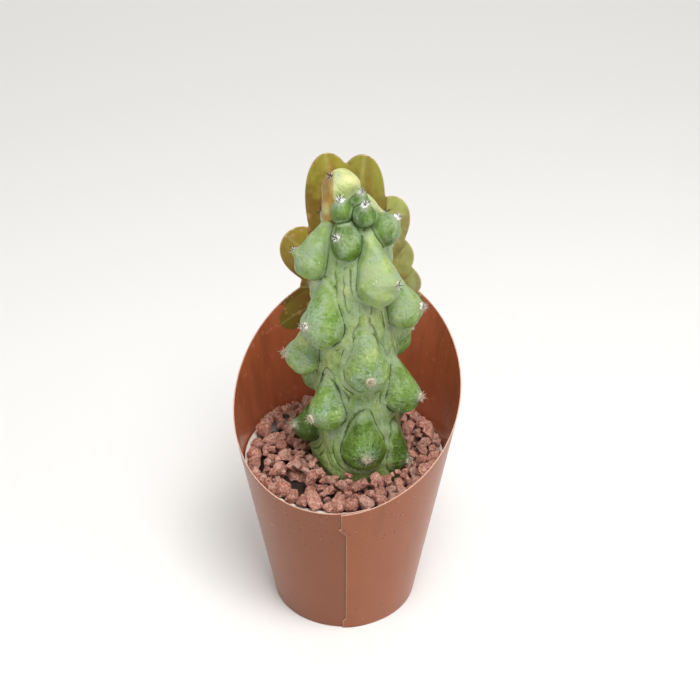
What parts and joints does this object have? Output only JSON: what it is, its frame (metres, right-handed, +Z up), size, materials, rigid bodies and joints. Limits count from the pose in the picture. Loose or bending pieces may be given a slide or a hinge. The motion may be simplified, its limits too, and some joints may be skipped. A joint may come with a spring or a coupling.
{
  "type": "potted cactus",
  "caption": "Columnar cactus with drop-shaped tubercles and short spines, in a nursery pot topped with lava gravel, wrapped by a tall-backed conical card sleeve.",
  "frame": {"origin": "centre of the nursery pot's flat underside, on the surface it stands on", "axes": "+Z up along the pot's axis, -Y to the front where the sleeve is lowest and has its seam, +Y to the tall back panel, +X to the viewer's right"},
  "size_m": [0.0974, 0.1081, 0.2043],
  "materials": {
    "card": "terracotta-brown coated card, semi-gloss",
    "pot_plastic": "off-white thin-walled nursery plastic",
    "soil": "dark potting soil",
    "lava_gravel": "rough porous red-brown lava stones",
    "cactus_flesh": "waxy blue-green to yellow-green skin with a pale bloom"
  },
  "bodies": {
    "root": {"sleeve": "card", "nursery_pot": "pot_plastic", "soil": "soil", "gravel": "lava_gravel", "cactus": "cactus_flesh"}
  },
  "joints": []
}
